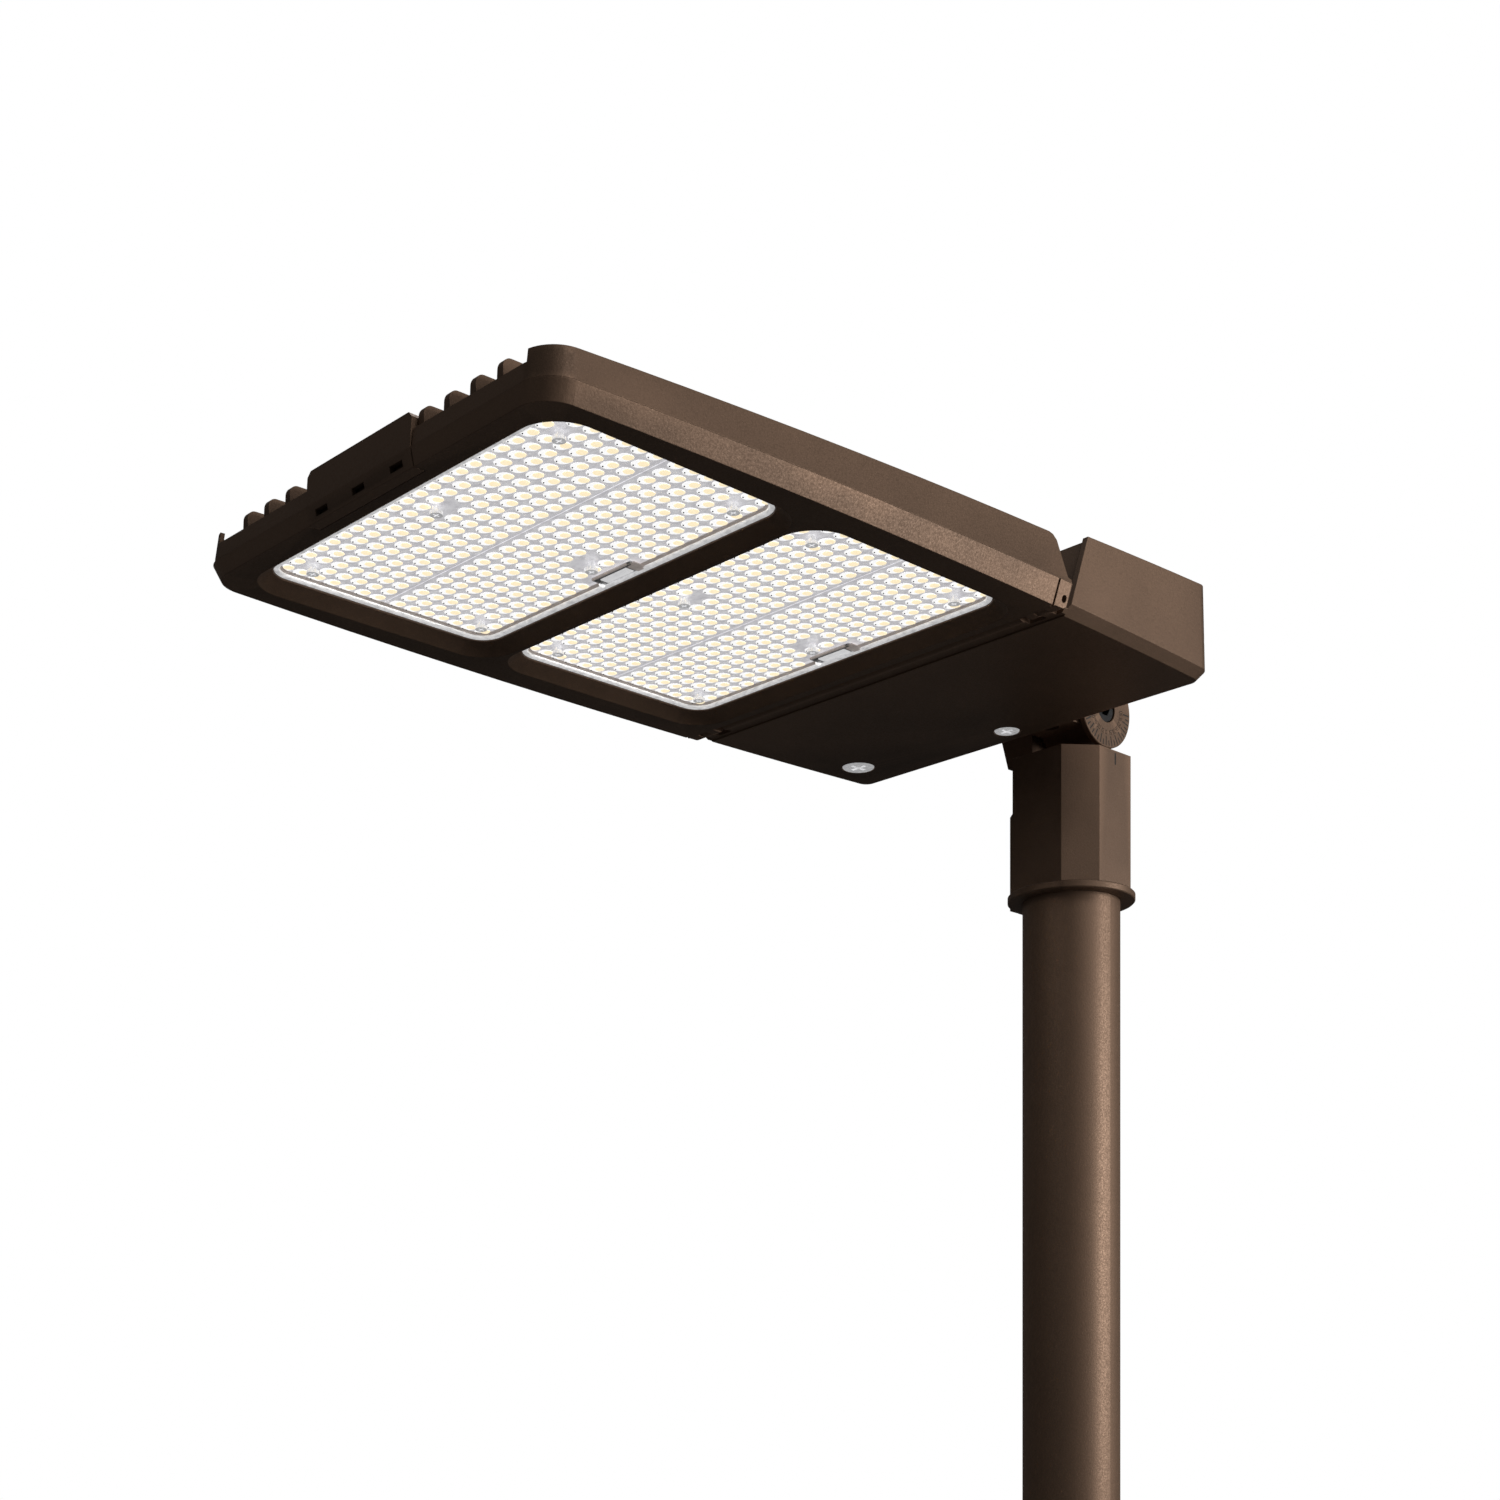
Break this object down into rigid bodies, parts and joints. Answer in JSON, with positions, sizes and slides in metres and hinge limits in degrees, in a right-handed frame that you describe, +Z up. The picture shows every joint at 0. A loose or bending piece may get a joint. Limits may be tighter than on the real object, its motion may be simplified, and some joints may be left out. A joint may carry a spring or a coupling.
{
  "type": "pole-mounted area light",
  "caption": "Flat finned LED area light head with a hinged driver door, on a tilting octagonal slip fitter that clamps round the top of a pole.",
  "frame": {"origin": "centre of the pole's lower end", "axes": "+Z up along the pole's axis; the lamp head reaches out towards -Y; hinge and tilt axes run along X, with the dial on +X"},
  "size_m": [0.2944, 0.5655, 0.5452],
  "materials": {
    "bronze_powder_coat": "fine-texture dark bronze powder coat",
    "clear_optic": "clear moulded polycarbonate optic",
    "white_board": "white solder mask",
    "grey_silicone": "matt silicone",
    "black_rubber": "matt",
    "zinc_steel": "bright zinc plated",
    "black_oxide_steel": "black oxide",
    "driver_case": "satin",
    "black_plastic": "moulded",
    "grey_plastic": "moulded",
    "white_cable": "smooth cable jacket"
  },
  "bodies": {
    "pole": {"pole": "bronze_powder_coat"},
    "fitter": {"slip_fitter": "bronze_powder_coat", "set_screws": "black_oxide_steel", "pivot_bolt": "zinc_steel", "pivot_nut": "zinc_steel"},
    "head": {"tilt_arm": "bronze_powder_coat", "arm_bolts": "zinc_steel", "heat_sink": "bronze_powder_coat", "bezel_frame": "bronze_powder_coat", "frame_screws": "zinc_steel", "lens_rear": "clear_optic", "led_board_rear": "white_board", "lens_gasket_rear": "grey_silicone", "lens_front": "clear_optic", "led_board_front": "white_board", "lens_gasket_front": "grey_silicone", "module_screws": "zinc_steel", "front_cover": "bronze_powder_coat", "cover_screws": "zinc_steel", "gear_tray": "bronze_powder_coat", "tray_screws": "zinc_steel", "hinge_pins": "black_oxide_steel", "driver_front": "driver_case", "driver_rear": "driver_case", "driver_screws": "zinc_steel", "surge_protector": "black_plastic", "terminal_block": "grey_plastic", "wire_grommet": "black_rubber", "module_leads": "white_cable"},
    "door": {"driver_door": "bronze_powder_coat", "door_gasket": "black_rubber"},
    "side_screw": {"door_screw_side": "zinc_steel"},
    "middle_screw": {"door_screw_middle": "zinc_steel"}
  },
  "joints": [
    {"name": "fitter_swivel", "type": "hinge", "parent": "pole", "child": "fitter", "pos_m": [0, 0, 0.4], "axis": [0, 0, 1], "range_deg": [-180, 180]},
    {"name": "head_tilt", "type": "hinge", "parent": "fitter", "child": "head", "pos_m": [0, 0, 0.5148], "axis": [-1, 0, 0], "range_deg": [-15, 90]},
    {"name": "door_swing", "type": "hinge", "parent": "head", "child": "door", "pos_m": [0, -0.187, 0.497], "axis": [-1, 0, 0], "range_deg": [0, 90]},
    {"name": "side_screw_draw", "type": "slide", "parent": "door", "child": "side_screw", "axis": [0, 0, -1], "range_m": [0, 0.012]},
    {"name": "middle_screw_draw", "type": "slide", "parent": "door", "child": "middle_screw", "axis": [0, 0, -1], "range_m": [0, 0.012]}
  ]
}
